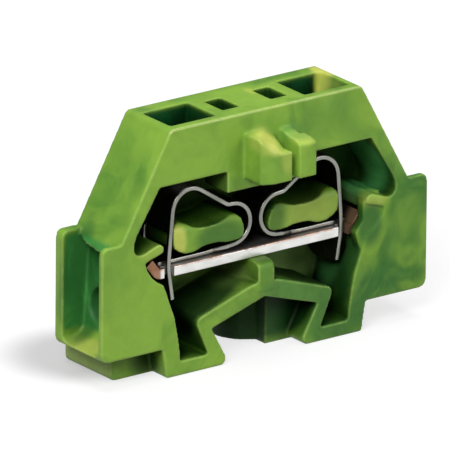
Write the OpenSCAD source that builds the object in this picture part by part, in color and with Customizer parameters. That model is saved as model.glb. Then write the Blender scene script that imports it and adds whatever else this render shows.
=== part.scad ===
/* Two-conductor leaf-spring terminal block, one pole, open on its front side.
   X runs along the block, Y from the open front face to the rear, Z up.
   Origin: middle of the block's length, in the open front face, at the level
   of the feet. Left is -X. Halves are drawn on the left and mirrored. Millimetres. */

/* [Housing] */
// Overall length of the housing over the two wire pockets
body_len = 38; // [37:0.5:39]
// Depth of the housing from its open face to its rear face
body_depth = 7.2; // [7.0:0.1:7.6]
// Height of the housing
body_height = 24.65; // [24.4:0.05:25.0]
// Half length of the flat top
top_half = 11.08; // [10.9:0.02:11.3]
// Distance from the middle to the foot of each sloping shoulder
shoulder_x = 16.75; // [16.6:0.05:16.9]
// Height of the upper edge of the wire pockets
pocket_top = 14.35; // [14.1:0.05:14.6]
// Height of the underside of the wire pockets
pocket_bottom = 3.0; // [2.8:0.1:3.2]
// Half length over the two feet
foot_half = 11.38; // [11.2:0.02:11.6]
// Thickness of the closed rear wall
rear_wall = 1.0; // [0.8:0.1:1.2]
// Rounding of the pocket corners
corner_r = 0.7; // [0.3:0.1:1.0]
// Rounding of the two upper corners
top_r = 0.7; // [0.4:0.1:0.9]

/* [Wire entries] */
// Radius of the conductor bore in each leg
wire_r = 1.45; // [1.3:0.05:1.6]
// Height of the conductor bore's axis
wire_z = 7.35; // [7.2:0.05:7.45]
// Depth of the conductor bore's axis
wire_y = 3.9; // [3.8:0.05:3.95]
// Thickness of the pocket's front wall
pocket_front = 0.55; // [0.5:0.05:0.9]
// Inner face of the pocket's rear wall
pocket_back = 6.3; // [6.1:0.05:6.35]
// Angle at which the bores rise towards the middle
wire_tilt = 4; // [3:0.5:5]
// Radius of the funnel's mouth
funnel_r = 2.0; // [1.8:0.05:2.1]

/* [Top openings] */
// Inner edge of each screwdriver opening
driver_x0 = 5.2; // [5.0:0.1:5.4]
// Outer edge of each screwdriver opening at the top
driver_x1 = 10.4; // [10.2:0.1:10.5]
// Outer edge of each screwdriver opening at its lower end
driver_x1_low = 9.4; // [9.2:0.1:9.6]
// Front edge of the screwdriver openings
driver_y0 = 1.05; // [0.9:0.05:1.2]
// Rear edge of the screwdriver openings
driver_y1 = 5.55; // [5.4:0.05:5.8]
// Inner edge of each test slot
test_x0 = 1.85; // [1.7:0.05:2.0]
// Outer edge of each test slot
test_x1 = 3.75; // [3.6:0.05:3.9]

/* [Clamping springs] */
// Thickness of the spring leaf
leaf_t = 0.45; // [0.4:0.01:0.5]
// Front edge of the spring leaf
leaf_y0 = 1.55; // [1.5:0.05:1.6]
// Width of the spring leaf
leaf_w = 4.4; // [4.2:0.05:4.5]
// Radius of the inner loop, to the middle of the leaf
loop_r = 2.05; // [2.0:0.01:2.1]
// Radius of the upper arch, to the middle of the leaf
arch_r = 2.1; // [2.05:0.01:2.15]
// Lower end of the window leg, at its side edges
leg_bottom = 7.05; // [7.0:0.05:7.2]
// Upper edge of the window in the leg
window_top = 13.6; // [13.4:0.1:14.0]
// Width left beside the window on each side
window_side = 0.42; // [0.38:0.01:0.42]

/* [Current bar] */
// Thickness of the current bar
bar_t = 0.98; // [0.95:0.01:1.0]
// Height of the middle of the current bar
bar_z = 9.94; // [9.92:0.01:9.95]
// Front edge of the current bar
bar_y0 = 1.4; // [1.35:0.05:1.5]
// Width of the current bar
bar_w = 4.6; // [4.4:0.1:4.65]
// Half length of the flat part of the bar
bar_flat = 11.1; // [11.05:0.01:11.2]

/* [Rear flange] */
// How far the flange sits behind the open face
flange_y = 2.45; // [2.3:0.05:2.6]
// Outer end of the flange
flange_x = 16.2; // [16.0:0.1:16.4]

/* [Hidden] */
$fn = 48;
housing_color = [0.52, 0.67, 0.30];
bar_color = [0.86, 0.85, 0.82];
spring_color = [0.66, 0.66, 0.64];

half = body_len/2;
left_end = -half - 1;             // where cuts through the left end start
cavity_back = body_depth - rear_wall;
in_rear_wall = cavity_back + 0.2; // inner parts end here, sunk into the rear wall
flange_back = flange_y + body_depth;
slab_under = 19.16;               // underside of the top slab
shoulder_run = (shoulder_x - top_half)/(body_height - pocket_top); // X per unit of height
shoulder_angle = atan2(body_height - pocket_top, shoulder_x - top_half);
window_gap = 0.16;                // clearance beside what passes through a leg's window
tail_inset = window_side + window_gap;

// ---------------------------------------------------------------- helpers

// An outline in the X-Z plane, made solid from depth y0 to depth y1
module extrude_y(y0, y1)
  translate([0, y1, 0]) rotate([90, 0, 0]) linear_extrude(y1 - y0) children();

// An outline in the Y-Z plane, made solid from x0 to x1
module extrude_x(x0, x1)
  translate([x0, 0, 0]) rotate([90, 0, 90]) linear_extrude(x1 - x0) children();

module both_sides() {
  children();
  mirror([1, 0, 0]) children();
}

function reversed(list) = [for (i = [len(list)-1:-1:0]) list[i]];

function arc(center, radius, start, end, steps) =
  [for (i = [0:steps]) let (angle = start + (end - start)*i/steps)
    center + radius*[cos(angle), sin(angle)]];

// Closed outline from its left half, listed from top to bottom
module symmetric(left) polygon(concat(left, reversed([for (p = left) [-p[0], p[1]]])));

function heading(path, i) =
  let (step = path[min(i+1, len(path)-1)] - path[max(i-1, 0)]) step/norm(step);

// The path shifted sideways, to the left of its heading
function beside(path, shift) =
  [for (i = [0:len(path)-1]) let (along = heading(path, i))
    path[i] + shift*[-along[1], along[0]]];

// Strip of even thickness whose middle follows the path
module strip(path, thickness)
  polygon(concat(beside(path, thickness/2), reversed(beside(path, -thickness/2))));

// ----------------------------------------------------------- housing body

foot_r = 0.35;       // outer corner of a foot
foot_inner_r = 0.68; // inner corner of a foot
flange_r = 0.6;

// Left half of the outer outline, [x, z] from the top middle outwards and down
function outline_half() = concat(
  [[0, body_height]],
  arc([-top_half + top_r*tan(shoulder_angle/2), body_height - top_r], top_r,
      90, 90 + shoulder_angle, 6),
  [[-shoulder_x, pocket_top]],
  arc([-half + corner_r, pocket_top - corner_r], corner_r, 90, 180, 8),
  arc([-half + corner_r, pocket_bottom + corner_r], corner_r, 180, 270, 8),
  // the foot's outer side tapers downwards to a rounded corner
  [[-foot_half - 0.54, pocket_bottom], [-foot_half - 0.22, 1.15]],
  arc([-foot_half + 0.25, foot_r], foot_r, 185, 270, 5),
  arc([-5.18, foot_inner_r], foot_inner_r, 262, 378, 7),
  // the notch between the feet
  [[-6.2, 3.93], [0, 5.87]]);

// Left half of the inner outline, [x, z] from the slab's underside down to the notch web
cavity_half = [
  [-12.35, slab_under], [-14.98, 14.9], [-15.25, 14.2], [-15.28, 13.5],
  [-15.02, 13.04], [-14.55, 12.88], [-14.1, 12.95], [-13.4, 13.22],
  [-12.65, 13.5], [-12.2, 13.5], [-11.9, 13.27], [-11.8, 12.93],
  [-11.97, 12.64], [-12.4, 12.48], [-13.4, 12.2], [-13.95, 11.95],
  [-13.72, 11.2], [-13.1, 10.3], [-12.45, 9.75], [-11.85, 9.42],
  [-11.5, 8.6], [-11.11, 7.52], [-10.51, 5.9], [-10.15, 4.13],
  [-9.9, 2.58], [-9.8, 1.45], [-6.57, 1.45], [-7.9, 4.55],
  [-7.9, 4.95], [-7.6, 5.29], [-1.78, 7.23], [-0.9, 7.4]];

module body_outline() symmetric(outline_half());

// The pocket walls stand a little proud at the rear
module pocket_backs() {
  pocket_rear = 7.4;
  extrude_y(body_depth - 0.3, pocket_rear) intersection() {
    body_outline();
    both_sides() translate([left_end, 0]) square([half + 0.9 - shoulder_x, pocket_top + 1]);
  }
}

// Flange under the left pocket, set back and standing out at the rear
module flange() {
  inner_x = -foot_half + 0.4;
  top_z = pocket_bottom + 0.3;
  extrude_y(flange_y, flange_back) polygon(concat(
    [[inner_x, top_z], [-flange_x, top_z]],
    arc([-flange_x + flange_r, flange_r], flange_r, 180, 270, 6),
    [[inner_x, 0]]));
}

// ------------------------------------------------------- housing openings

bore_x = 13.35;        // where the bore's axis passes wire_z
bore_start = -4.65;    // along the axis from there
bore_len = 8;
funnel_start = -3.65;
funnel_len = 1.8;
slot_y0 = 1.9;         // front edge of the test slots
slot_depth = 3.0;
driver_overrun = 0.4;  // cut beyond the slab above and below

// Pocket outline beside the leg, [x, z]: open to the side and to the top
module pocket_outline() polygon([
  [left_end, 3.1], [-half, 3.28], [-18.4, 3.5], [-16.95, 4.05], [-16.5, 4.6],
  [-15.9, 12.5], [-17.44, 13.1], [-shoulder_x, pocket_top],
  [-shoulder_x + shoulder_run, pocket_top + 1],
  [-shoulder_x - 0.2, pocket_top + 1.2], [left_end, pocket_top + 1.2]]);

// Fillings of the pocket's lower corners, [y, z]
rear_corner = [
  [pocket_back + 0.1, 2.9], [pocket_back + 0.1, 4.1], [pocket_back - 0.1, 3.85],
  [pocket_back - 0.35, 3.6], [pocket_back - 0.7, 3.4], [pocket_back - 0.7, 2.9]];
front_corner = [
  [pocket_front - 0.1, 2.9], [pocket_front - 0.1, 4.2], [pocket_front + 0.1, 3.9],
  [pocket_front + 0.3, 3.65], [pocket_front + 0.6, 3.45], [pocket_front + 0.6, 2.9]];

// The shoulder's lower edge rises towards the rear, [y, z]
shoulder_edge = [
  [3.4, 12.6], [3.4, 13.1], [4.3, 13.17], [4.95, 13.27],
  [5.5, 13.42], [5.95, 13.6], [pocket_back, 13.8], [pocket_back, 12.6]];

module wire_pocket() {
  difference() {
    extrude_y(pocket_front, pocket_back) pocket_outline();
    extrude_x(left_end, -16) polygon(rear_corner);
    extrude_x(left_end, -16) polygon(front_corner);
  }
  extrude_x(-half, -16.3) polygon(shoulder_edge);
}

// Conductor bore and its funnel
module wire_bore() translate([-bore_x, wire_y, wire_z]) rotate([0, 90 - wire_tilt, 0]) {
  translate([0, 0, bore_start]) cylinder(r = wire_r, h = bore_len);
  translate([0, 0, funnel_start]) cylinder(r1 = funnel_r + 0.1, r2 = wire_r, h = funnel_len);
}

// Screwdriver opening, narrowing downwards
module driver_opening() {
  top_z = body_height + driver_overrun;
  low_z = slab_under - driver_overrun;
  extrude_y(driver_y0, driver_y1) polygon([
    [-driver_x1 - 0.1, top_z], [-driver_x1_low, low_z],
    [-driver_x0, low_z], [-driver_x0, top_z]]);
}

module test_slot()
  translate([-test_x1, slot_y0, 16]) cube([test_x1 - test_x0, slot_depth, 10]);

module body() difference() {
  union() {
    extrude_y(0, body_depth) body_outline();
    pocket_backs();
    flange();
  }
  extrude_y(-1, cavity_back) symmetric(cavity_half);
  both_sides() {
    wire_pocket();
    wire_bore();
    driver_opening();
    test_slot();
  }
}

// --------------------------------------------------- housing inner parts

finger_y0 = 1.46;    // front face of the fingers
finger_edge_r = 1.0; // rounding of their upper front edge

// Outline of the left finger, [x, z]
finger_outline = [
  [-9.0, 11.7], [-9.5, 12.1], [-9.64, 12.6], [-9.66, 13.5], [-9.55, 14.05],
  [-9.2, 14.35], [-8.6, 14.4], [-8.0, 14.2], [-7.4, 13.85], [-6.6, 13.62],
  [-5.6, 13.58], [-4.4, 13.66], [-3.6, 13.9], [-2.9, 14.15], [-2.3, 14.1],
  [-1.8, 13.7], [-1.5, 13.0], [-1.38, 12.4], [-1.5, 11.85], [-1.97, 11.58],
  [-2.84, 11.5], [-3.6, 11.58], [-4.3, 11.72], [-5.3, 11.76], [-6.3, 11.68],
  [-6.8, 11.46], [-7.5, 11.32], [-8.3, 11.38]];

// Fixed finger moulded inside each spring
module finger() intersection() {
  extrude_y(finger_y0, in_rear_wall) polygon(finger_outline);
  extrude_x(-11, 0) polygon(concat(
    [[finger_y0, 11]],
    arc([finger_y0 + finger_edge_r, 13.45], finger_edge_r, 180, 95, 8),
    [[in_rear_wall, 14.6], [in_rear_wall, 11]]));
}

// Block under the slab that carries the pegs
module peg_block() difference() {
  translate([-4.5, 0, 17.05]) cube([9.0, 3.6, 2.4]);
  both_sides() test_slot();
}

// Ledge above the bar's right end, and the plate in front of that end, [x, z]
module bar_end_walls() {
  plate_y0 = 0.25;
  ledge_y0 = 1.25;
  extrude_y(ledge_y0, in_rear_wall)
    polygon([[11.8, 13.2], [11.8, 12.1], [14.3, 12.1], [14.3, 13.2]]);
  extrude_y(plate_y0, ledge_y0) polygon([
    [11.65, 12.9], [11.65, 10.95], [10.8, 9.9], [10.95, 9.35],
    [11.25, 8.4], [11.6, 7.6], [12.6, 9.0], [14.2, 11.0], [14.3, 12.6]]);
}

// Rib that carries the current bar in the middle
module bar_rib() {
  edge_r = 0.65;
  extrude_x(-0.8, 1.0) polygon(concat(
    [[in_rear_wall, 6.7], [-0.1, 6.5]],
    arc([0.55, 8.65], edge_r, 180, 90, 6),
    [[1.25, 9.4], [in_rear_wall, 9.4]]));
}

// Locking lug behind the notch: its plan, [x, y], cut to its front view, [x, z]
module locking_lug() intersection() {
  linear_extrude(6.4) polygon(concat(
    [[6.6, flange_y], [1.85, flange_y], [1.85, 3.9]],
    arc([3.2, 7.5], 3.8, 226, 182, 8),
    [[-0.55, 9.35], [0.15, flange_back], [5.0, flange_back],
     [5.0, body_depth], [6.6, body_depth]]));
  extrude_y(0, 12) polygon([[-2, 0], [6.9, 0], [6.9, 4.4], [0.6, 6.2], [-2, 5.5]]);
}

// ----------------------------------------------------------- housing pegs

peg_front = -3.1;
peg_root = 0.4;   // the pegs start here, inside the slab
head_back = -1.35; // rear of the short peg's head

// Full height of the long peg's plan, [x, y], up to the given height
module long_peg_column(height)
  translate([0, 0, 18.15]) linear_extrude(height) polygon([
    [-2.6, peg_root], [-2.6, -2.6], [-1.35, peg_front], [0.75, peg_front], [0.75, peg_root]]);

// Long snap peg on the front of the top slab
module long_peg() {
  long_peg_column(2.87);
  // its higher part falls away towards the front right corner
  intersection() {
    long_peg_column(4.45);
    translate([0, 0, 22.4]) rotate([26.7, 30.6, 0]) translate([-8, -8, -8]) cube([16, 16, 8]);
  }
}

// Second snap peg to its right, a neck with a wider head: plan, side and front view
module short_peg() intersection() {
  translate([0, 0, 18.13]) linear_extrude(4.3) polygon([
    [1.56, peg_root], [1.56, peg_front], [3.58, peg_front],
    [3.75, head_back], [2.85, head_back], [2.85, peg_root]]);
  extrude_x(0, 6) polygon([
    [peg_front, 15], [peg_front, 21.45], [-2.3, 21.85], [head_back, 21.95],
    [0, 22.3], [peg_root, 22.35], [peg_root, 15]]);
  extrude_y(-4, 1) polygon([[0, 15], [0, 22.6], [2.9, 22.6], [3.75, 21.3], [4.0, 15]]);
}

module housing() color(housing_color) union() {
  body();
  peg_block();
  bar_end_walls();
  long_peg();
  short_peg();
  both_sides() finger();
  bar_rib();
  locking_lug();
}

// ------------------------------------------------------------ current bar

bar_bend_r = 0.75;     // bend of the turned-up ends
bar_end = [12.5, 11.25];
bar_notch_x = -10.75;
bar_notch_len = 1.15;

function bar_path() =
  let (bend_z = bar_z + bar_bend_r)
  concat(
    [[-bar_end[0], bar_end[1]]],
    arc([-bar_flat, bend_z], bar_bend_r, 218, 270, 6),
    arc([bar_flat, bend_z], bar_bend_r, 270, 322, 6),
    [bar_end]);

module current_bar() color(bar_color) difference() {
  extrude_y(bar_y0, bar_y0 + bar_w) strip(bar_path(), bar_t);
  // notches for the side strips of the window legs
  both_sides() {
    translate([bar_notch_x, 0, 8]) cube([bar_notch_len, leaf_y0 + tail_inset, 4]);
    translate([bar_notch_x, leaf_y0 + leaf_w - tail_inset, 8]) cube([bar_notch_len, 3, 4]);
  }
}

// ---------------------------------------------------------------- springs

loop_center = [-2.65, 13.15];
arch_center = [-7.58, 15.6];
seat_z = bar_z + bar_t/2 + 0.015 + leaf_t/2; // just above the bar
split_angle = 75;      // where the arch leaves the fixed loop
neck_r = 0.9;          // reverse bend between loop and arch
arch_start = 56.2;     // angle where the arch takes over from the neck
arch_end = 175.3;      // angle where the window leg starts
knee = [-10.1, 10.5];  // slight bend of the window leg
tip_x = -9.55;         // lowest point of the window leg
tongue = 0.5;          // how far the rounded end stands below its sides
tongue_r = (leaf_w*leaf_w/4 + tongue*tongue)/(2*tongue); // radius of that end

// Middle lines of the left spring's leaf, [x, z]
function seat_path() = concat(
  [[-11.0, seat_z], [-8, seat_z], [-5.6, seat_z], [-5.0, seat_z + 0.02]],
  arc(loop_center, loop_r, -81, split_angle, 20));
function arch_path() = concat(
  arc(loop_center, loop_r, split_angle + 0.6, 88, 3),
  arc([-2.95, loop_center[1] + loop_r + neck_r], neck_r, 270, arch_start + 180, 5),
  arc(arch_center, arch_r, arch_start, arch_end, 16));
function leg_path() = [
  arch_center + arch_r*[cos(arch_end), sin(arch_end)] - [0.004, 0.05],
  knee + [0.04, 0.9],
  knee,
  knee + [0.05, -0.8],
  [tip_x, leg_bottom - tongue]];

module leaf(path) extrude_y(leaf_y0, leaf_y0 + leaf_w) strip(path, leaf_t);

module spring_seat() color(spring_color) difference() {
  leaf(seat_path());
  // the tail is narrower, so that it passes through the window
  for (side = [0, 1]) translate([0, leaf_y0 + side*leaf_w, 9]) mirror([0, side, 0])
    linear_extrude(3) polygon([
      [-12, -1], [-12, tail_inset], [-4.6, tail_inset],
      [-3.4, 0.3*tail_inset], [-2.2, 0], [-2.2, -1]]);
}

module spring_arch() color(spring_color) leaf(arch_path());

module spring_window_leg() color(spring_color) difference() {
  window_bottom = bar_z - bar_t/2 - 0.04;
  leaf(leg_path());
  // window for the current bar, the seat and the conductor
  translate([-12, leaf_y0 + window_side, window_bottom])
    cube([4, leaf_w - 2*window_side, window_top - window_bottom]);
  // rounded lower end
  translate([-12, leaf_y0 + leaf_w/2, 0]) difference() {
    translate([0, -leaf_w, leg_bottom - 2]) cube([4, 2*leaf_w, 2]);
    translate([-1, 0, leg_bottom - tongue + tongue_r]) rotate([0, 90, 0])
      cylinder(r = tongue_r, h = 6, $fn = 96);
  }
}

module left_spring_seat() spring_seat();
module left_spring_arch() spring_arch();
module left_spring_window_leg() spring_window_leg();
module right_spring_seat() mirror([1, 0, 0]) spring_seat();
module right_spring_arch() mirror([1, 0, 0]) spring_arch();
module right_spring_window_leg() mirror([1, 0, 0]) spring_window_leg();

housing();
current_bar();
left_spring_seat();
left_spring_arch();
left_spring_window_leg();
right_spring_seat();
right_spring_arch();
right_spring_window_leg();
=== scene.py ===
# A marbled green plastic block holding a tinned copper bar and two mirrored steel leaf springs.
# The bar runs along X. Left is -X, the open front faces -Y, and the block stands on z = 0.
# Sizes are in millimetres, turned into metres by MM.
import math

import bmesh
import bpy
from mathutils import Matrix, Vector


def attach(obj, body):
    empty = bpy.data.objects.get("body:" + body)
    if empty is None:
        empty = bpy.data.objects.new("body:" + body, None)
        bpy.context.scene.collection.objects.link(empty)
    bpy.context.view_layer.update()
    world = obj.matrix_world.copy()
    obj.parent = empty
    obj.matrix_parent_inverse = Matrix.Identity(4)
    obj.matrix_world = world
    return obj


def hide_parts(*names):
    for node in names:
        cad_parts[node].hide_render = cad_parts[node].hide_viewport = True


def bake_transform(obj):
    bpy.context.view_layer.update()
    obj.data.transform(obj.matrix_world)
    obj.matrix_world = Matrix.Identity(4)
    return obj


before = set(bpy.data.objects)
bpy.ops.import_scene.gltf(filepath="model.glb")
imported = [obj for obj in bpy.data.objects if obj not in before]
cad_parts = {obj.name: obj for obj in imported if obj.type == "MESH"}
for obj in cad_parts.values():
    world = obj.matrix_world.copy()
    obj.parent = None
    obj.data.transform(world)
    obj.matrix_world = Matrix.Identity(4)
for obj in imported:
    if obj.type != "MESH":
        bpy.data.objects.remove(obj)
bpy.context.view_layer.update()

MM = 0.001
SCENE = bpy.context.scene

# ------------------------------------------------------------------ driving sizes

BAR_Z, BAR_THICK = 9.94, 0.98  # height of the bar's middle, and its thickness
BAR_Y = (1.4, 6.0)

LEAF_THICK = 0.45
LEAF_FRONT, LEAF_BACK = 1.55, 5.95
WINDOW_RIM = 0.42  # width of spring left at each side of the window
NECK_INSET = WINDOW_RIM + 0.16  # spring tail and bar neck: clear of the rim by 0.16

# ------------------------------------------------------------------ mesh tools


def add_object(name, data):
    obj = bpy.data.objects.new(name, data)
    SCENE.collection.objects.link(obj)
    return obj


def finish_mesh(bm, mesh, name):
    """Weld, orient and smooth a bmesh, and make an object of it."""
    bmesh.ops.remove_doubles(bm, verts=bm.verts, dist=1e-8)
    bmesh.ops.recalc_face_normals(bm, faces=bm.faces)
    for face in bm.faces:
        face.smooth = True
    bm.to_mesh(mesh)
    bm.free()
    return add_object(name, mesh)


def new_object(name, verts, faces):
    mesh = bpy.data.meshes.new(name)
    mesh.from_pydata([(x * MM, y * MM, z * MM) for x, y, z in verts], [], faces)
    bm = bmesh.new()
    bm.from_mesh(mesh)
    return finish_mesh(bm, mesh, name)


def mirror_x(obj, name):
    mesh = obj.data.copy()
    mesh.name = name
    mesh.transform(Matrix.Diagonal((-1, 1, 1, 1)))
    mesh.flip_normals()
    return add_object(name, mesh)


def sharpen(obj, angle):
    """Hard breaks in the smooth shading where the surface turns sharply."""
    obj.data.set_sharp_from_angle(angle=math.radians(angle))


def arc(centre, radius, start, end, step=3.0):
    """Points on an arc; angles in degrees."""
    count = max(2, int(abs(end - start) / step))
    points = []
    for i in range(count + 1):
        angle = math.radians(start + (end - start) * i / count)
        points.append((centre[0] + radius * math.cos(angle), centre[1] + radius * math.sin(angle)))
    return points


def resample(path, step):
    points = [path[0]]
    for a, b in zip(path, path[1:]):
        length = math.dist(a, b)
        if length < 1e-6:
            continue
        n = max(1, int(round(length / step)))
        for i in range(1, n + 1):
            points.append((a[0] + (b[0] - a[0]) * i / n, a[1] + (b[1] - a[1]) * i / n))
    return points


def relax(path, times):
    """Round off the corners of a path, its ends held."""
    for _ in range(times):
        middle = [
            ((a[0] + 2 * b[0] + c[0]) / 4, (a[1] + 2 * b[1] + c[1]) / 4)
            for a, b, c in zip(path, path[1:], path[2:])
        ]
        path = [path[0]] + middle + [path[-1]]
    return path


def tangent(path, i):
    a, b = path[max(i - 1, 0)], path[min(i + 1, len(path) - 1)]
    length = math.dist(a, b)
    return ((b[0] - a[0]) / length, (b[1] - a[1]) / length)


def ring(centre, heading, thick, y0, y1, radius, inset):
    """Rounded rectangle across an X-Z path at centre, as (x, y, z) points."""
    radius, half = max(radius - inset, 0.004), thick / 2 - inset
    side, front, back = half - radius, y0 + inset + radius, y1 - inset - radius
    points = []
    for corner, start in (
        ((side, back), 0),
        ((-side, back), 90),
        ((-side, front), 180),
        ((side, front), 270),
    ):
        for across, y in arc(corner, radius, start, start + 90, step=22.5):
            points.append((centre[0] - heading[1] * across, y, centre[1] + heading[0] * across))
    return points


# rings of a rounded end: inset and distance in from the tip, as shares of the edge radius
CAP_RINGS = ((1.0, 0.0), (0.55, 0.12), (0.25, 0.33), (0.07, 0.65))


def sweep(name, path, limits, thick, radius, round_end=True):
    """Strip of rounded section along an X-Z path.

    limits(x, z, i) lists one (y0, y1) pair, or two where the width steps.
    """

    def cap(i, sign):
        point, heading = path[i], tangent(path, i)
        y0, y1 = limits(*point, i)[0]
        rings = []
        for inset, along in CAP_RINGS:
            centre = [p + sign * t * radius * along for p, t in zip(point, heading)]
            rings.append(ring(centre, heading, thick, y0, y1, radius, radius * inset * 0.98))
        return rings

    rings = cap(0, 1)
    first = 0
    while math.dist(path[0], path[first]) < radius:
        first += 1
    last = end = len(path) - 1
    tail = []
    if round_end:
        tail = cap(last, -1)[::-1]
        while math.dist(path[last], path[end]) < radius:
            end -= 1
    for i in range(first, end + 1):
        for y0, y1 in limits(*path[i], i):
            rings.append(ring(path[i], tangent(path, i), thick, y0, y1, radius, 0))
    rings += tail
    n = len(rings[0])
    faces = []
    for i in range(len(rings) - 1):
        for j in range(n):
            a, b = i * n + j, i * n + (j + 1) % n
            faces.append((a, b, b + n, a + n))
    faces.append(tuple(range(n - 1, -1, -1)))
    faces.append(tuple(range((len(rings) - 1) * n, len(rings) * n)))
    return new_object(name, [point for row in rings for point in row], faces)


# ------------------------------------------------------------------ shader tools


class Shader:
    """A node material, with short ways to add nodes. Each value may be a number or a socket."""

    def __init__(self, name):
        self.material = bpy.data.materials.new(name)
        self.material.use_nodes = True
        self.tree = self.material.node_tree
        self.tree.nodes.clear()
        self.out = self.node("OutputMaterial")
        self.bsdf = self.node("BsdfPrincipled")
        self.plug(self.bsdf.outputs[0], self.out.inputs[0])
        self.co = self.node("TexCoord").outputs["Object"]

    def node(self, kind, **settings):
        node = self.tree.nodes.new("ShaderNode" + kind)
        for key, value in settings.items():
            setattr(node, key, value)
        return node

    def plug(self, value, socket):
        if hasattr(value, "is_output"):
            self.tree.links.new(value, socket)
        else:
            socket.default_value = value

    def set(self, name, value):
        self.plug(value, self.bsdf.inputs[name])

    def split(self, vector):
        node = self.node("SeparateXYZ")
        self.plug(vector, node.inputs[0])
        return node.outputs

    def normal(self):
        return self.node("NewGeometry").outputs["Normal"]

    def math(self, operation, a, b=0.0, c=None):
        node = self.node("Math", operation=operation)
        self.plug(a, node.inputs[0])
        self.plug(b, node.inputs[1])
        if c is not None:
            self.plug(c, node.inputs[2])
        return node.outputs[0]

    def mul(self, first, *rest):
        for value in rest:
            first = self.math("MULTIPLY", first, value)
        return first

    def most(self, first, *rest):
        for value in rest:
            first = self.math("MAXIMUM", first, value)
        return first

    def scaled(self, value, times, plus):
        return self.math("MULTIPLY_ADD", value, times, plus)

    def invert(self, value):
        return self.math("SUBTRACT", 1.0, value)

    def vector(self, operation, a, b=None, scale=None):
        node = self.node("VectorMath", operation=operation)
        self.plug(a, node.inputs[0])
        if b is not None:
            self.plug(b, node.inputs[1])
        if scale is not None:
            node.inputs["Scale"].default_value = scale
        scalar = operation in ("DOT_PRODUCT", "LENGTH", "DISTANCE")
        return node.outputs["Value" if scalar else "Vector"]

    def remap(self, value, span, to=(0.0, 1.0), kind="SMOOTHSTEP"):
        """Carry the range span over to the range to."""
        node = self.node("MapRange", interpolation_type=kind)
        self.plug(value, node.inputs["Value"])
        for key, number in zip(("From Min", "From Max", "To Min", "To Max"), (*span, *to)):
            node.inputs[key].default_value = number
        return node.outputs["Result"]

    def ramp(self, value, span, to=(0.0, 1.0)):
        """remap for a place or length, with span in mm."""
        return self.remap(value, [edge * MM for edge in span], to)

    def mapped(self, coords, scale, location, **settings):
        node = self.node("Mapping", **settings)
        self.plug(self.co if coords is None else coords, node.inputs["Vector"])
        node.inputs["Scale"].default_value = scale
        node.inputs["Location"].default_value = location
        return node.outputs[0]

    def noise(self, scale, detail=3.0, rough=0.5, warp=0.0, stretch=(1, 1, 1), shift=(0, 0, 0),
              coords=None):
        vector = self.mapped(coords, stretch, shift)
        node = self.node("TexNoise")
        self.plug(vector, node.inputs["Vector"])
        node.inputs["Scale"].default_value = scale
        node.inputs["Detail"].default_value = detail
        node.inputs["Roughness"].default_value = rough
        node.inputs["Distortion"].default_value = warp
        return node.outputs["Fac"]

    def mix(self, share, a, b, mode="MIX"):
        node = self.node("Mix", data_type="RGBA", blend_type=mode, clamp_result=False)
        self.plug(share, node.inputs["Factor"])
        sockets = [socket for socket in node.inputs if socket.type == "RGBA"]
        for value, socket in zip((a, b), sockets):
            self.plug((*value, 1) if isinstance(value, tuple) else value, socket)
        return [socket for socket in node.outputs if socket.type == "RGBA"][0]

    def tint(self, colour, by):
        return self.mix(1.0, colour, by, "MULTIPLY")

    def grey(self, value):
        return self.mix(value, (0, 0, 0), (1, 1, 1))

    def box(self, xyz, low, high, soft=0.3):
        """1 inside a box given in mm, 0 outside."""
        return self.mul(*[
            self.mul(self.ramp(value, (a - soft, a + soft)), self.ramp(value, (b + soft, b - soft)))
            for value, a, b in zip(xyz, low, high)
        ])

    def blob(self, centre, radii, soft, coords=None):
        """1 inside an ellipsoid given in mm, 0 outside."""
        place = self.mapped(coords, [r * MM for r in radii], [c * MM for c in centre],
                            vector_type="TEXTURE")
        reach = self.vector("LENGTH", place)
        return self.remap(reach, span=(1.0 + soft * 0.5, 1.0 - soft * 0.5))

    def bump(self, height, strength, distance, normal=None):
        node = self.node("Bump")
        node.inputs["Strength"].default_value = strength
        node.inputs["Distance"].default_value = distance
        self.plug(height, node.inputs["Height"])
        if normal is not None:
            self.plug(normal, node.inputs["Normal"])
        return node.outputs[0]

    def openness(self, samples, distance):
        """Ambient occlusion by the object itself: 1 in the open; distance in metres."""
        node = self.node("AmbientOcclusion", samples=samples)
        node.only_local = True
        node.inputs["Distance"].default_value = distance
        return node.outputs["AO"]

    def edges(self, radius, span):
        """Mask of the edges from a bevelled normal, and that normal; radius in metres."""
        bevel = self.node("Bevel", samples=6)
        bevel.inputs["Radius"].default_value = radius
        rounded = bevel.outputs[0]
        along = self.vector("DOT_PRODUCT", rounded, self.normal())
        return self.remap(self.invert(along), span), rounded


def srgb(*parts):
    """Linear colour from sRGB parts of 0 to 255."""
    shares = [part / 255 for part in parts]
    return tuple(c / 12.92 if c <= 0.04045 else ((c + 0.055) / 1.055) ** 2.4 for c in shares)


# ------------------------------------------------------------------ marbled plastic

BASE_GREEN = srgb(140, 182, 66)
DARK_GREEN = srgb(62, 122, 46)
PALE_GREEN = srgb(172, 206, 104)
YELLOW_GREEN = srgb(204, 212, 102)
# pale colours of the painted edge highlight, where rounded edges catch the light; the second along
# the front of the top
EDGE_HIGHLIGHT_PALE, EDGE_HIGHLIGHT_TOP = srgb(196, 226, 120), srgb(238, 242, 170)
TOWARDS_CAMERA = (-0.56, -0.756, 0.335)

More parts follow.
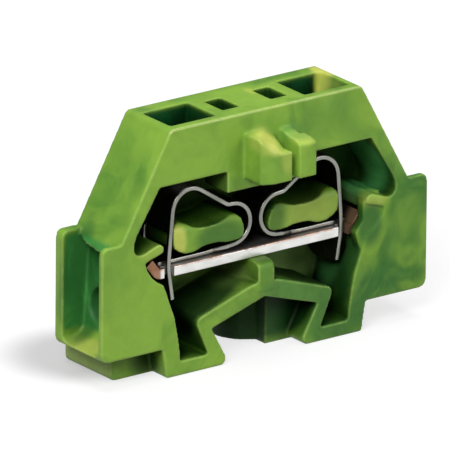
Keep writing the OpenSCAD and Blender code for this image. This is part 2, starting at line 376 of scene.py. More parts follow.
# places of the marbling: centre (mm), radii (mm), softness, strength
DARK = [
    ((17.4, 0, 12.2), (2.6, 4, 2.2), 0.9, 0.95),
    ((13.6, 0, 14.0), (1.6, 4, 2.0), 0.9, 0.6),
    ((16.4, 0, 5.0), (3.2, 4, 1.7), 0.9, 0.95),
    ((13.6, 0, 6.2), (1.5, 3, 1.9), 0.9, 0.9),
    ((12.0, 0, 3.6), (1.6, 3, 2.8), 0.9, 0.95),
    ((9.6, 0, 1.0), (2.6, 3, 1.6), 0.9, 0.8),
    ((14.3, 0, 9.8), (1.0, 3, 2.6), 0.9, 0.6),
    ((-14.2, 3.5, 19.5), (2.2, 4.0, 3.0), 0.9, 0.6),
    ((-16.2, 4.5, 15.5), (2.0, 3.0, 2.4), 0.9, 0.6),
    ((3.0, 0, 22.4), (4.0, 2, 2.0), 0.9, 0.28),
    ((9.5, 1, 23.0), (3.0, 3, 1.6), 0.9, 0.2),
    ((-9.0, 0, 2.0), (3.0, 2, 1.6), 0.9, 0.35),
    ((6.0, 6.9, 24.6), (6.5, 1.2, 0.8), 0.9, 0.7),
    ((-8.0, 6.5, 24.6), (4.0, 1.2, 0.8), 0.9, 0.6),
    ((-5.6, 1.6, 24.6), (1.6, 1.4, 0.5), 0.9, 0.4),
    ((-1.8, 0.0, 23.2), (2.2, 1.0, 1.2), 0.9, 0.45),
    ((13.7, 0.0, 18.6), (1.2, 1.0, 1.8), 0.9, 0.4),
    ((-13.2, 4.0, 22.0), (1.6, 3.6, 2.4), 0.9, 0.4),
]
LIGHT = [
    ((16.3, 0, 10.2), (1.5, 1.5, 1.6), 0.9, 0.7),
    ((17.3, 0, 7.1), (1.5, 1.5, 1.0), 0.9, 0.7),
    ((17.6, 0, 4.0), (1.0, 1.5, 0.7), 0.9, 0.6),
    ((12.6, 0, 7.6), (0.9, 0.6, 1.4), 0.9, 0.5),
    ((-13.5, 0, 7.0), (5.0, 1.2, 7.5), 0.8, 0.8),
    ((-8.0, 0, 20.5), (7.0, 1.2, 3.5), 0.8, 0.7),
]
YELLOW = [
    ((-0.9, -1.8, 22.2), (1.7, 1.8, 1.3), 0.9, 0.95),
    ((0.2, -3.0, 20.6), (0.7, 0.8, 1.6), 0.9, 0.35),
    ((2.6, -2.2, 22.0), (1.3, 1.5, 0.8), 0.8, 0.45),
    ((-9.1, 1.6, 12.7), (0.9, 1.6, 1.7), 0.7, 0.85),
    ((6.5, 2.0, 12.6), (3.2, 1.8, 1.6), 0.9, 0.35),
    ((12.9, 0.4, 12.9), (1.4, 1.4, 0.7), 0.9, 0.5),
    ((10.6, 5.4, 24.3), (0.8, 1.5, 2.6), 0.8, 0.8),
    ((9.7, 5.2, 22.4), (0.7, 1.3, 2.4), 0.8, 0.7),
    ((-17.8, 3.8, 3.4), (1.9, 2.6, 0.7), 0.7, 0.55),
    ((-13.2, 0.3, 12.9), (1.6, 1.2, 0.8), 0.8, 0.2),
]
# shaded places inside the hollows: the same columns, then the sRGB shade
DEEP = [
    ((-17.2, 5.4, 9.0), (3.0, 1.6, 6.0), 0.6, 0.85, (34, 98, 44)),
    ((-18.3, 6.2, 6.6), (1.0, 1.0, 1.9), 0.9, 0.45, (96, 150, 60)),
    ((-4.2, 1.4, 12.4), (3.0, 1.2, 1.6), 0.8, 0.6, (66, 116, 42)),
    ((1.9, 1.4, 12.8), (1.5, 1.6, 2.0), 0.9, 0.7, (54, 96, 36)),
    ((0.4, 0.0, 8.0), (1.4, 1.4, 1.9), 0.7, 0.6, (58, 112, 44)),
    ((4.2, 0.2, 5.6), (4.8, 1.0, 2.2), 0.5, 0.95, (86, 134, 58)),
    ((7.0, 0.2, 2.6), (2.4, 1.0, 3.0), 0.7, 0.75, (76, 126, 52)),
    ((9.0, 0.2, 2.2), (3.2, 1.4, 3.0), 0.9, 0.55, (70, 118, 46)),
    ((-3.6, 0.2, 6.0), (3.2, 1.0, 1.6), 0.9, 0.35, (84, 128, 56)),
    ((2.6, 5.6, 3.0), (5.4, 3.9, 4.6), 0.2, 0.95, (20, 66, 24)),
    ((-11.6, 2.4, 1.2), (2.2, 1.2, 1.6), 0.8, 0.8, (74, 112, 46)),
    ((2.7, -1.0, 21.9), (1.4, 1.7, 0.7), 0.7, 0.5, (104, 156, 78)),
    ((4.6, 2.6, 2.4), (1.6, 0.6, 2.6), 0.8, 0.5, (30, 72, 34)),
    ((6.2, 3.4, 2.2), (2.0, 3.0, 3.4), 0.3, 0.9, (20, 66, 24)),
    ((12.4, 0.8, 10.4), (1.5, 1.5, 2.4), 0.6, 0.85, (54, 112, 44)),
    ((11.4, 1.4, 5.6), (1.7, 1.4, 4.6), 0.5, 0.85, (44, 108, 54)),
    ((11.0, 4.4, 6.0), (2.4, 2.2, 5.0), 0.4, 0.95, (14, 34, 17)),
    ((6.0, 2.4, 6.0), (4.4, 1.9, 1.6), 0.5, 0.8, (26, 56, 24)),
    ((-7.0, 3.2, 6.0), (6.5, 3.0, 3.4), 0.35, 0.9, (38, 72, 36)),
    ((-9.2, 3.2, 3.2), (2.0, 3.0, 2.8), 0.4, 0.8, (18, 48, 18)),
    ((-4.2, 1.4, 12.2), (2.6, 1.2, 1.6), 0.7, 0.6, (62, 110, 46)),
    ((13.6, 3.0, 15.6), (3.4, 3.0, 3.8), 0.4, 0.85, (26, 76, 34)),
]
# places where light from outside reaches the bottom of a hollow: columns as in DEEP
LIFT = [
    ((-1.0, 4.0, 7.5), (0.5, 2.4, 1.1), 0.9, 0.6, (112, 138, 70)),
    ((12.6, 4.2, 7.4), (1.4, 1.7, 1.7), 0.5, 0.4, (100, 90, 62)),
    ((13.2, 3.2, 15.6), (3.0, 2.8, 3.6), 0.5, 0.9, (72, 146, 78)),
    ((7.6, 6.3, 6.6), (3.4, 0.7, 2.4), 0.8, 0.9, (126, 160, 88)),
    ((-4.2, 6.3, 8.5), (5.2, 0.7, 1.7), 0.9, 0.75, (120, 152, 74)),
    ((13.3, 0.9, 13.3), (1.2, 1.3, 0.5), 0.9, 0.6, (160, 208, 92)),
    ((12.0, 2.8, 12.7), (0.8, 1.6, 0.8), 0.9, 0.35, (96, 108, 66)),
    ((10.4, 5.7, 23.6), (0.7, 1.7, 1.7), 0.9, 0.9, (204, 212, 96)),
    ((10.2, 3.4, 23.6), (0.5, 2.0, 0.9), 0.9, 0.45, (150, 184, 84)),
    ((-15.2, 3.9, 7.3), (1.6, 2.4, 2.4), 0.4, 0.8, (44, 100, 46)),
    ((-16.3, 6.4, 1.4), (0.5, 4.5, 1.8), 0.4, 0.85, (166, 192, 108)),
    ((-2.2, 3.4, 7.8), (2.0, 2.6, 1.3), 0.9, 0.35, (92, 122, 58)),
    ((11.0, 4.0, 6.4), (1.6, 1.8, 3.0), 0.8, 0.8, (50, 100, 50)),
    ((0.4, 5.8, 2.4), (2.6, 3.4, 4.4), 0.3, 0.65, (32, 72, 22)),
    ((1.6, 4.7, 24.6), (0.45, 0.9, 0.3), 0.9, 0.7, (186, 206, 84)),
    ((-0.9, -2.6, 21.6), (0.9, 0.7, 0.7), 0.9, 0.5, (228, 232, 132)),
]
# boxes of darker shade: low corner, high corner (mm), strength, sRGB shade
HOLLOW = [
    ((-10.7, 0.9, 19.0), (-5.0, 5.8, 24.35), 1.0, (30, 104, 56)),
    ((4.9, 0.9, 19.0), (9.6, 5.8, 24.35), 1.0, (24, 96, 52)),
    ((-3.9, 1.8, 18.0), (-1.7, 5.0, 24.35), 1.0, (34, 104, 50)),
    ((1.9, 1.8, 18.0), (3.9, 5.0, 24.35), 0.9, (44, 110, 52)),
    ((-18.7, 0.7, 4.6), (-14.6, 6.6, 13.9), 0.9, (54, 126, 58)),
]
# places whose edges get no painted highlight: centre (mm), radii (mm), softness
NO_EDGE_HIGHLIGHT = [
    ((12.7, 0.6, 10.0), (2.8, 2.0, 3.2), 0.3),
    ((-16.4, 3.4, 8.6), (1.9, 2.7, 5.2), 0.3),
    ((6.4, 4.2, 2.4), (1.9, 2.8, 3.6), 0.3),
]


def flow_coords(mat):
    """Slowly warped coordinates, so that the colours flow with the moulding."""
    warp = mat.node("TexNoise")
    mat.plug(mat.co, warp.inputs["Vector"])
    warp.inputs["Scale"].default_value = 120
    warp.inputs["Detail"].default_value = 2
    centred = mat.vector("SUBTRACT", warp.outputs["Color"], (0.5, 0.5, 0.5))
    return mat.vector("ADD", mat.co, mat.vector("SCALE", centred, scale=0.006))


def marbling(mat, x, z, flow, glint):
    """Mixed greens with dark, light and yellow places."""
    big = mat.noise(scale=130, rough=0.55, warp=0.6, coords=flow, shift=(0.01, 0, 0))
    streak = mat.noise(scale=240, rough=0.55, warp=0.7, stretch=(1.0, 0.7, 0.45), coords=flow)
    right_side = mat.mul(mat.ramp(x, span=(-2, 12), to=(0.35, 0.8)),
                         mat.ramp(z, span=(17, 20), to=(1.0, 0.55)))
    dark_share = mat.mul(mat.remap(big, span=(0.42, 0.66)), right_side)
    col = mat.mix(dark_share, BASE_GREEN, DARK_GREEN)
    col = mat.mix(mat.remap(streak, span=(0.52, 0.75), to=(0.0, 0.5)), col, DARK_GREEN)
    col = mat.mix(mat.remap(glint, span=(0.55, 0.75), to=(0.0, 0.35)), col, PALE_GREEN)
    patchy = mat.noise(scale=210, rough=0.6, warp=0.8, coords=flow, shift=(0.3, 0.1, 0))
    broken = mat.remap(patchy, span=(0.36, 0.62))
    for *place, strength in DARK:
        share = mat.mul(mat.blob(*place, flow), mat.scaled(broken, times=0.55, plus=0.45))
        col = mat.mix(mat.mul(share, strength), col, DARK_GREEN)
    for *place, strength in LIGHT:
        between_streaks = mat.remap(streak, span=(0.72, 0.42), to=(0.35, 1.0))
        share = mat.mul(mat.blob(*place, flow), strength, between_streaks)
        col = mat.mix(share, col, BASE_GREEN)
    for *place, strength in YELLOW:
        col = mat.mix(mat.mul(mat.blob(*place), strength), col, YELLOW_GREEN)
    return col


def shade_places(mat, col, places, mask):
    for *place, strength, shade in places:
        col = mat.mix(mat.mul(mat.blob(*place), strength, mask), col, srgb(*shade))
    return col


def paint_edge_highlights(mat, col, y, z):
    """Painted highlights along the edges, where rounded edges catch the light; returns the colour,
    the highlight mask and the bevelled normal.
    """
    open_edge = mat.remap(mat.openness(samples=6, distance=0.0012), span=(0.72, 0.92))
    mask, bevelled = mat.edges(radius=0.00038, span=(0.010, 0.15))
    highlight_breaks = mat.remap(mat.noise(scale=700, rough=0.6), span=(0.3, 0.7), to=(0.45, 1.0))
    no_highlight = mat.most(*[mat.blob(*place) for place in NO_EDGE_HIGHLIGHT])
    edge_highlight = mat.mul(mask, open_edge, highlight_breaks, mat.invert(no_highlight))
    # the painted highlight is strongest along the front of the top
    top_front = mat.mul(mat.ramp(z, span=(23.9, 24.5)), mat.ramp(y, span=(0.9, 0.4)))
    boosted = mat.mul(edge_highlight, mat.scaled(top_front, times=1.6, plus=1.0))
    edge_highlight = mat.math("MINIMUM", boosted, 1.0)
    return mat.mix(edge_highlight, col, mat.mix(top_front, EDGE_HIGHLIGHT_PALE, EDGE_HIGHLIGHT_TOP)), edge_highlight, bevelled


def sky_access(mat, x, y):
    """1 in the open, falling to 0 deep in the hollows."""
    wide = mat.openness(samples=8, distance=0.010)
    open_sky = mat.remap(wide, span=(0.28, 0.88), kind="LINEAR")
    open_sky = mat.math("POWER", open_sky, 1.35)
    # the left end, the front and the back count as open
    clear = mat.most(
        mat.ramp(x, span=(-15.7, -16.3), to=(0.0, 0.85)),
        mat.ramp(y, span=(0.15, 0.0)),
        mat.ramp(y, span=(7.5, 8.0)),
    )
    return mat.most(open_sky, clear)


def plastic():
    mat = Shader("marbled_plastic")
    x, y, z = xyz = mat.split(mat.co)
    flow = flow_coords(mat)
    glint = mat.noise(scale=340, detail=4, rough=0.6, warp=0.9, stretch=(0.8, 0.8, 0.5),
                      coords=flow, shift=(0.2, 0.5, 0.1))
    col = marbling(mat, x, z, flow, glint)
    # DEEP and LIFT stay on the faces turned to the camera, off the outside of the walls
    facing = mat.vector("DOT_PRODUCT", mat.normal(), TOWARDS_CAMERA)
    inner = mat.remap(facing, span=(-0.05, 0.08))
    col = shade_places(mat, col, DEEP, inner)
    for low, high, strength, shade in HOLLOW:
        shade = srgb(*shade)
        lighter = tuple(part * 1.7 for part in shade)
        shade = mat.mix(mat.remap(glint, span=(0.4, 0.7)), shade, lighter)
        col = mat.mix(mat.mul(mat.box(xyz, low, high), strength), col, shade)
    # painted highlights along the edges
    col, edge_highlight, bevelled = paint_edge_highlights(mat, col, y, z)
    # painted shade: the colour is darkened in the hollows, where less light reaches
    open_sky = sky_access(mat, x, y)
    col = mat.tint(col, mat.mix(open_sky, (0.07, 0.13, 0.09), (1, 1, 1)))
    col = shade_places(mat, col, LIFT, inner)
    # fine mottling of the pigments, stronger low down
    low_down = mat.mul(mat.ramp(z, span=(10, 6)), mat.ramp(x, span=(-9.5, -7.5)))
    depth = mat.scaled(low_down, times=0.08, plus=0.035)
    specks = mat.noise(scale=820, rough=0.6, warp=0.4, coords=flow, shift=(0.7, 0.2, 0))
    mottle = mat.remap(specks, span=(0.32, 0.68), to=(-1.0, 1.0))
    col = mat.tint(col, mat.grey(mat.scaled(mottle, times=depth, plus=0.97)))
    # the lower right is a little duller all over
    dull = mat.mul(mat.ramp(x, span=(5, 13)), mat.ramp(z, span=(17, 11)))
    col = mat.mix(dull, col, mat.tint(col, (0.80, 0.84, 0.80)))
    mat.set("Base Color", col)
    rough = mat.remap(mat.noise(scale=500, rough=0.55), span=(0.3, 0.7), to=(0.36, 0.50))
    edge_gloss = 0.08  # how much smoother the edges under the painted highlight are
    mat.set("Roughness", mat.math("SUBTRACT", rough, mat.mul(edge_highlight, edge_gloss)))
    mat.set("IOR", 1.5)
    mat.set("Specular IOR Level", mat.scaled(open_sky, times=0.22, plus=0.06))
    fine = mat.noise(scale=5200, detail=2)
    wave = mat.noise(scale=420, detail=2)
    normal = mat.bump(fine, strength=0.10, distance=0.00002, normal=bevelled)
    mat.set("Normal", mat.bump(wave, strength=0.25, distance=0.00005, normal=normal))
    return mat.material


# ------------------------------------------------------------------ metals

STEEL_LIGHT, STEEL_DARK, STEEL_PIT = (0.38, 0.385, 0.345), (0.26, 0.265, 0.235), (0.12, 0.11, 0.10)
# colours of the painted dark reflection on the rolled faces of the springs
DARK_REFLECTION_LIGHT, DARK_REFLECTION_DARK = (0.075, 0.068, 0.060), (0.045, 0.042, 0.040)
# the tin's tones, then the painted shade on its top under the springs
TIN_LIGHT, TIN_DARK, TIN_SHADE = (0.97, 0.96, 0.93), (0.85, 0.85, 0.83), (0.06, 0.052, 0.048)
COPPER_LIGHT, COPPER_DARK = srgb(214, 160, 128), srgb(176, 120, 88)
# end colours: brown for the left end, the painted brown shade of the right end, and its painted near
# black shade at the back
END_BROWN, SHADED_END_BROWN, NEAR_BLACK = srgb(120, 84, 52), srgb(92, 60, 20), (0.012, 0.010, 0.008)


def steel():
    mat = Shader("spring_steel")
    grain = mat.noise(scale=900, detail=4, rough=0.65, stretch=(1, 9, 1))
    pits = mat.noise(scale=3600, detail=2, rough=0.7)
    cloud = mat.noise(scale=260)
    col = mat.mix(mat.remap(cloud, span=(0.3, 0.7)), STEEL_LIGHT, STEEL_DARK)
    col = mat.mix(mat.remap(pits, span=(0.66, 0.78), to=(0, 0.5)), col, STEEL_PIT)
    # the cut edges, which face front and back, are bright; the rolled faces are painted dark, a
    # painted reflection of the dark hollows around the springs
    facing_y = mat.math("ABSOLUTE", mat.split(mat.normal())[1])
    cut = mat.remap(facing_y, span=(0.25, 0.8))
    painted_dark = mat.mix(mat.remap(cloud, span=(0.3, 0.7)), DARK_REFLECTION_LIGHT, DARK_REFLECTION_DARK)
    mat.set("Base Color", mat.mix(cut, painted_dark, col))
    mat.set("Metallic", 1.0)
    mat.set("Roughness", mat.remap(grain, span=(0.3, 0.7), to=(0.24, 0.42)))
    mat.set("Normal", mat.bump(grain, strength=0.12, distance=0.00002))
    return mat.material


def tin():
    mat = Shader("tinned_copper")
    x, y, z = mat.split(mat.co)
    wave = mat.noise(scale=600, rough=0.6, warp=0.3, stretch=(1, 2, 2))
    col = mat.mix(mat.remap(wave, span=(0.3, 0.7)), TIN_LIGHT, TIN_DARK)
    # bare copper where the strip was sheared: along the upper front edge and at the ends
    blotch = mat.remap(mat.noise(scale=900, rough=0.6), span=(0.35, 0.65))
    copper = mat.mix(blotch, COPPER_LIGHT, COPPER_DARK)
    ragged = mat.noise(scale=520, detail=4, rough=0.65, warp=0.5)
    edge = mat.mul(
        mat.ramp(z, span=(BAR_Z + 0.27, BAR_Z + 0.42)),
        mat.ramp(y, span=(2.1, 1.7)),
        mat.remap(ragged, span=(0.38, 0.55), to=(0.15, 1.0)),
    )
    ends = mat.most(mat.ramp(x, span=(10.5, 10.75)), mat.ramp(x, span=(-11.0, -11.35)))
    edge_strength, end_strength, shade_strength = 0.75, 0.95, 0.85
    col = mat.mix(mat.mul(edge, edge_strength), col, copper)
    # the ends: bare copper on the left; on the right a painted brown shade, not metallic, painted
    # darker still towards the back
    shaded_right = mat.ramp(x, span=(-1, 1))
    brown_share = 0.55
    left_end = mat.mix(brown_share, copper, END_BROWN)
    end_col = mat.mix(shaded_right, left_end, SHADED_END_BROWN)
    col = mat.mix(mat.mul(ends, end_strength), col, end_col)
    deep = mat.mul(shaded_right, mat.ramp(y, span=(2.3, 3.4)))
    col = mat.mix(mat.mul(ends, deep), col, NEAR_BLACK)
    # painted shade: the top is darkened under the springs
    facing_up = mat.split(mat.normal())[2]
    painted_dark = mat.mul(
        mat.remap(facing_up, span=(0.75, 0.95)),
        mat.ramp(y, span=(1.5, 1.9)),
        mat.invert(ends),
    )
    mat.set("Base Color", mat.mix(mat.mul(painted_dark, shade_strength), col, TIN_SHADE))
    mat.set("Metallic", mat.scaled(mat.mul(ends, shaded_right), times=-0.75, plus=0.85))
    mat.set("Roughness", mat.remap(wave, span=(0.25, 0.75), to=(0.3, 0.5)))
    ripple = mat.noise(scale=1500, rough=0.6, stretch=(0.3, 1, 1))
    mat.set("Normal", mat.bump(ripple, strength=0.15, distance=0.00002))
    return mat.material


PLASTIC, STEEL, TIN = plastic(), steel(), tin()

# ------------------------------------------------------------------ housing


def soft_housing(name, voxel, smooth, ratio):
    """The CAD housing as one closed mesh with softly rounded edges; voxel in mm."""
    bm = bmesh.new()
    bm.from_mesh(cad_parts["housing"].data)
    bmesh.ops.remove_doubles(bm, verts=bm.verts, dist=1e-7)
    bmesh.ops.scale(bm, vec=(1000, 1000, 1000), verts=bm.verts)
    bmesh.ops.recalc_face_normals(bm, faces=bm.faces)
    mesh = bpy.data.meshes.new(name + "_src")
    bm.to_mesh(mesh)
    bm.free()
    source = add_object(name + "_src", mesh)
    remesh = source.modifiers.new("remesh", "REMESH")
    remesh.mode = "VOXEL"
    remesh.voxel_size = voxel
    remesh.adaptivity = 0.0
    soften = source.modifiers.new("soften", "SMOOTH")
    soften.factor = 0.5
    soften.iterations = smooth
    thin = source.modifiers.new("thin", "DECIMATE")
    thin.decimate_type = "COLLAPSE"
    thin.ratio = ratio
    depsgraph = bpy.context.evaluated_depsgraph_get()
    result = bpy.data.meshes.new_from_object(source.evaluated_get(depsgraph))
    bpy.data.objects.remove(source)
    bpy.data.meshes.remove(mesh)
    result.transform(Matrix.Scale(MM, 4))
    for polygon in result.polygons:
        polygon.use_smooth = True
    return add_object(name, result)


voxel, smooth = ((0.1, 5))
shell = soft_housing("housing_shell", voxel, smooth, ratio=0.35)
shell.data.materials.append(PLASTIC)
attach(shell, "block")
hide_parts("housing")

# ------------------------------------------------------------------ spring path

# centres and corners are (x, z) of the left spring
LOOP, LOOP_RADIUS = (-2.65, 13.15), 2.05
ARCH, ARCH_RADIUS = (-7.58, 15.6), 2.1
TURN_X, TURN_RADIUS = -2.95, 0.9  # reverse bend between loop and arch
SEAT_Z = BAR_Z + BAR_THICK / 2 + 0.015 + LEAF_THICK / 2
KNEE = (-10.1, 10.5)
LEG_BOTTOM, TONGUE, TIP_X = 7.05, 0.5, -9.55  # TONGUE: drop of the bowed end below its corners

leaf = [(-11.0, SEAT_Z), (-8, SEAT_Z), (-5.6, SEAT_Z), (-5.0, SEAT_Z + 0.02)]
leaf += arc(LOOP, LOOP_RADIUS, -81, 88)
leaf += arc((TURN_X, LOOP[1] + LOOP_RADIUS + TURN_RADIUS), TURN_RADIUS, 270, 236.2)
leaf += arc(ARCH, ARCH_RADIUS, 56.2, 175.3)
arch_end = leaf[-1]
leaf += [
    (KNEE[0] + 0.04, KNEE[1] + 0.9),
    KNEE,
    (KNEE[0] + 0.05, KNEE[1] - 0.8),
    (TIP_X, LEG_BOTTOM - TONGUE),
]
leaf = relax(resample(leaf, 0.09), 14)
# the mesh is split into leaf and leg at the end of the arch
seam = min(range(len(leaf)), key=lambda i: math.dist(leaf[i], arch_end))

# narrowing of the seated tail: x, inset at each side
TAIL_INSETS = [(-12, NECK_INSET), (-4.6, NECK_INSET), (-3.4, 0.3 * NECK_INSET), (-2.2, 0.0)]


def leaf_limits(x, z, i):
    inset = 0.0
    if z < 11.2 and x < TAIL_INSETS[-1][0]:
        for (x0, inset0), (x1, inset1) in zip(TAIL_INSETS, TAIL_INSETS[1:]):
            if x0 <= x <= x1:
                inset = inset0 + (inset1 - inset0) * (x - x0) / (x1 - x0)
    return [(LEAF_FRONT + inset, LEAF_BACK - inset)]


# ------------------------------------------------------------------ window leg

# the leg is outlined flat in (distance along the leg, y), thickened, then bent along its path
leg_path = leaf[seam:]
reach = [0.0]
for a, b in zip(leg_path, leg_path[1:]):
    reach.append(reach[-1] + math.dist(a, b))


def clamp_reach(s):
    return min(max(s, 0.0), reach[-1])


def leg_frame(s):
    """Point and heading at a distance s along the leg."""
    s = clamp_reach(s)
    i = 0
    while i < len(reach) - 2 and reach[i + 1] < s:
        i += 1
    share = (s - reach[i]) / (reach[i + 1] - reach[i])

    def blend(a, b):
        return (a[0] + (b[0] - a[0]) * share, a[1] + (b[1] - a[1]) * share)

    heading = blend(tangent(leaf, seam + i), tangent(leaf, seam + i + 1))
    return blend(leg_path[i], leg_path[i + 1]), heading


def reach_at(z):
    return min((abs(point[1] - z), s) for point, s in zip(leg_path, reach))[1]


SIDE_END, LEG_END = reach_at(LEG_BOTTOM), reach[-1]
WINDOW_START, WINDOW_END = reach_at(13.6), reach_at(BAR_Z - BAR_THICK / 2 - 0.04)
WINDOW_RADIUS = 0.25
LEG_EDGE = 0.12  # edge rounding


def outer_loop(inset):
    """Outline of the leg, its lower end bowed."""
    y0, y1 = LEAF_FRONT + inset, LEAF_BACK - inset
    points = [(0.0, y0)]
    for j in range(25):
        share = j / 24
        bow = 1 - (2 * share - 1) ** 2
        s = SIDE_END - inset + (LEG_END - SIDE_END) * bow * 0.98
        points.append((s, y0 + (y1 - y0) * share))
    points.append((0.0, y1))
    return points


def hole_loop(inset):
    """Outline of the window, with rounded corners."""
    margin = WINDOW_RADIUS - inset
    start, end = WINDOW_START + margin, WINDOW_END - margin
    front, back = LEAF_FRONT + WINDOW_RIM + margin, LEAF_BACK - WINDOW_RIM - margin
    points = []
    for corner, angle in (
        ((start, front), 180),
        ((end, front), 270),
        ((end, back), 0),
        ((start, back), 90),
    ):
        points += arc(corner, WINDOW_RADIUS, angle, angle + 90, step=18)
    return points


def make_leg(name):
    edge, half = LEG_EDGE, LEAF_THICK / 2
    # inset and level of each outline through the thickness
    lower = [
        (edge, -half),
        (edge * 0.45, -half + edge * 0.12),
        (edge * 0.12, -half + edge * 0.45),
        (0, -half + edge),
    ]
    layers = lower + [(inset, -level) for inset, level in reversed(lower)]
    bm = bmesh.new()
    walls = []
    for outline in (outer_loop, hole_loop):
        rows = [[bm.verts.new((s, y, level)) for s, y in outline(inset)] for inset, level in layers]
        for low, high in zip(rows, rows[1:]):
            for j in range(len(low)):
                k = (j + 1) % len(low)
                bm.faces.new((low[j], low[k], high[k], high[j]))
        walls.append(rows)
    for layer in (0, -1):
        edges = []
        for rows in walls:
            row = rows[layer]
            edges += [bm.edges.get(pair) for pair in zip(row, row[1:] + row[:1])]
        bmesh.ops.triangle_fill(bm, use_beauty=True, use_dissolve=False, edges=edges)
    # cuts across the leg, so that it can bend
    s = 0.12
    while s < LEG_END:
        geom = list(bm.verts) + list(bm.edges) + list(bm.faces)
        bmesh.ops.bisect_plane(bm, geom=geom, plane_co=(s, 0, 0), plane_no=(1, 0, 0), dist=1e-5)
        s += 0.24
    for vert in bm.verts:
        s, y, level = vert.co
        point, heading = leg_frame(s)
        over = s - clamp_reach(s)
        x = point[0] + heading[0] * over - heading[1] * level
        z = point[1] + heading[1] * over + heading[0] * level
        vert.co = Vector((x * MM, y * MM, z * MM))
    return finish_mesh(bm, bpy.data.meshes.new(name), name)


# ------------------------------------------------------------------ springs

left_leaf = sweep("left_spring_leaf", leaf[: seam + 1], leaf_limits, LEAF_THICK, 0.13,
                  round_end=False)
left_leg = make_leg("left_spring_leg")
right_leaf = mirror_x(left_leaf, "right_spring_leaf")
right_leg = mirror_x(left_leg, "right_spring_leg")


for side, sign, arch, leg in (("left", -1, left_leaf, left_leg), ("right", 1, right_leaf, right_leg)):
    for obj in (arch, leg):
        obj.data.materials.append(STEEL)
        sharpen(obj, angle=40)
    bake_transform(arch)
    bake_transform(leg)
    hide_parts(side + "_spring_seat", side + "_spring_arch")
    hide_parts(side + "_spring_window_leg")

# ------------------------------------------------------------------ current bar

FLAT_END, BEND_RADIUS = 11.1, 0.75  # half length of the flat, and the bend up at each end
NECK_START, NECK_END = 9.6, 10.75  # distances from the middle, where the bar is narrower
NECK_Y = (LEAF_FRONT + NECK_INSET, LEAF_BACK - NECK_INSET)

left_end = [(-12.5, 11.25)] + arc((-FLAT_END, BAR_Z + BEND_RADIUS), BEND_RADIUS, 218, 270, 4)
bar_path = left_end + [(-x, z) for x, z in reversed(left_end)]
bar_path = relax(resample(bar_path, 0.12), 3)

# the nearest path point is moved onto each change of width
bar_xs = [point[0] for point in bar_path]
width_steps = {}
for x, widths in (
    (-NECK_END, [BAR_Y, NECK_Y]),
    (-NECK_START, [NECK_Y, BAR_Y]),
    (NECK_START, [BAR_Y, NECK_Y]),
    (NECK_END, [NECK_Y, BAR_Y]),
):
    i = min(range(len(bar_xs)), key=lambda j: abs(bar_xs[j] - x))
    bar_path[i] = (x, bar_path[i][1])
    width_steps[i] = widths


def bar_limits(x, z, i):
    if i in width_steps:
        return width_steps[i]
    return [NECK_Y] if NECK_START < abs(x) < NECK_END else [BAR_Y]


bar = sweep("current_bar_strip", bar_path, bar_limits, BAR_THICK, 0.09)
bar.data.materials.append(TIN)
sharpen(bar, angle=38)
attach(bar, "block")
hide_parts("current_bar")

# ------------------------------------------------------------------ floor

FLOOR_HALF = 3000
FLOOR_GLOW, FLOOR_BOUNCE = 0.71, 0.25  # emission the camera sees; grey that lights the block
GLOSSY_SHARE = 0.8  # how much of the glow reflections see
FLOOR_LIGHT, FLOOR_DARK = (0.33, 0.33, 0.332), (0.32, 0.32, 0.322)
# centre of the painted shadow on the floor
SHADOW_POOL_CENTRE = (-14 * MM, 10 * MM, 0)


def floor_material():
    mat = Shader("studio_floor")
    # a painted shadow: darker behind the left end of the block
    away = mat.vector("DISTANCE", mat.co, SHADOW_POOL_CENTRE)
    reach = mat.ramp(away, span=(4, 9.5), to=(0.62, 1.0))
    tone = mat.mix(mat.remap(mat.noise(scale=30), span=(0.3, 0.7)), FLOOR_LIGHT, FLOOR_DARK)
    mat.set("Base Color", mat.tint(tone, mat.grey(reach)))
    mat.set("Roughness", 0.75)
    mat.set("Specular IOR Level", 0.1)
    # what the camera sees is lifted to white, without flooding the block from below
    glow = mat.node("Emission")
    mat.plug(mat.mul(reach, FLOOR_GLOW), glow.inputs["Strength"])
    lifted = mat.node("AddShader")
    mat.plug(mat.bsdf.outputs[0], lifted.inputs[0])
    mat.plug(glow.outputs[0], lifted.inputs[1])
    plain = mat.node("BsdfDiffuse")
    plain.inputs["Color"].default_value = (FLOOR_BOUNCE, FLOOR_BOUNCE, FLOOR_BOUNCE, 1)
    rays = mat.node("LightPath").outputs
    seen = mat.most(rays["Is Camera Ray"], mat.mul(rays["Is Glossy Ray"], GLOSSY_SHARE))
    pick = mat.node("MixShader")
    for value, socket in zip((seen, plain.outputs[0], lifted.outputs[0]), pick.inputs):
        mat.plug(value, socket)
    mat.plug(pick.outputs[0], mat.out.inputs[0])
    return mat.material


floor_corners = [(x * FLOOR_HALF, y * FLOOR_HALF, 0) for x, y in ((-1, -1), (1, -1), (1, 1), (-1, 1))]
floor = new_object("studio_floor", floor_corners, [(0, 1, 2, 3)])
floor.data.materials.append(floor_material())

# ------------------------------------------------------------------ light

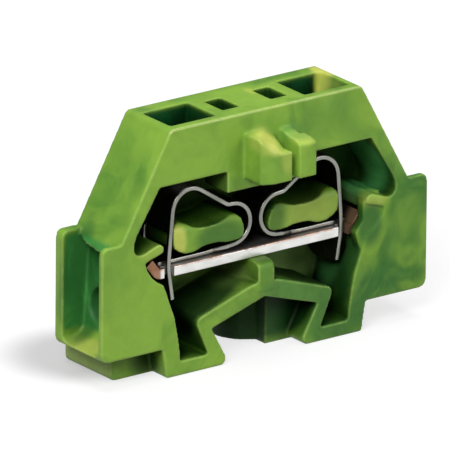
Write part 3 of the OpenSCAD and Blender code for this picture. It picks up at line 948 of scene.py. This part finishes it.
world = bpy.data.worlds.new("studio")
SCENE.world = world
world.use_nodes = True
background = world.node_tree.nodes["Background"]
background.inputs["Color"].default_value = (1, 1, 1, 1)
background.inputs["Strength"].default_value = 0.16

LIGHT_AIM = (0, 4, 12)


def softbox(name, at, size, power):
    """Rectangular light aimed at the block; place and size in mm, power in watts."""
    data = bpy.data.lights.new(name, "AREA")
    data.shape = "RECTANGLE"
    data.size, data.size_y = size[0] * MM, size[1] * MM
    data.energy = power
    obj = add_object(name, data)
    obj.location = [c * MM for c in at]
    direction = Vector([c * MM for c in LIGHT_AIM]) - obj.location
    obj.rotation_euler = direction.to_track_quat("-Z", "Y").to_euler()


softbox("key_softbox", at=(-430, -330, 430), size=(300, 260), power=3.5)
softbox("fill_softbox", at=(330, -470, 260), size=(300, 300), power=1.1)
softbox("top_softbox", at=(0, 60, 620), size=(400, 400), power=1.8)

# ------------------------------------------------------------------ camera

AZIMUTH, ELEVATION, ROLL = (math.radians(turn) for turn in (-36.660190, 19.584833, 0.545685))
CAMERA_AIM, CAMERA_DISTANCE = (0, 4, 14), 1500.0
SHIFT_LEFT, SHIFT_DOWN = 1.465365, 2.043156  # of the camera, across its view

back = Vector((
    math.sin(AZIMUTH) * math.cos(ELEVATION),
    -math.cos(AZIMUTH) * math.cos(ELEVATION),
    math.sin(ELEVATION),
))
right = Vector((0, 0, 1)).cross(back).normalized()
up = back.cross(right)
cos_roll, sin_roll = math.cos(ROLL), math.sin(ROLL)
right, up = right * cos_roll + up * sin_roll, right * -sin_roll + up * cos_roll
place = Vector(CAMERA_AIM) + right * -SHIFT_LEFT + up * -SHIFT_DOWN + back * CAMERA_DISTANCE
cam_data = bpy.data.cameras.new("camera")
cam = add_object("camera", cam_data)
turn = Matrix((right, up, back)).transposed().to_4x4()
cam.matrix_world = Matrix.Translation(place * MM) @ turn
cam_data.sensor_width = 36.0
cam_data.lens = 1276.27211336
cam_data.clip_start, cam_data.clip_end = 0.05, 20
SCENE.camera = cam

SCENE.view_settings.view_transform = "Standard"
SCENE.view_settings.look = "None"
SCENE.view_settings.exposure = 0.0
SCENE.view_settings.gamma = 1.0
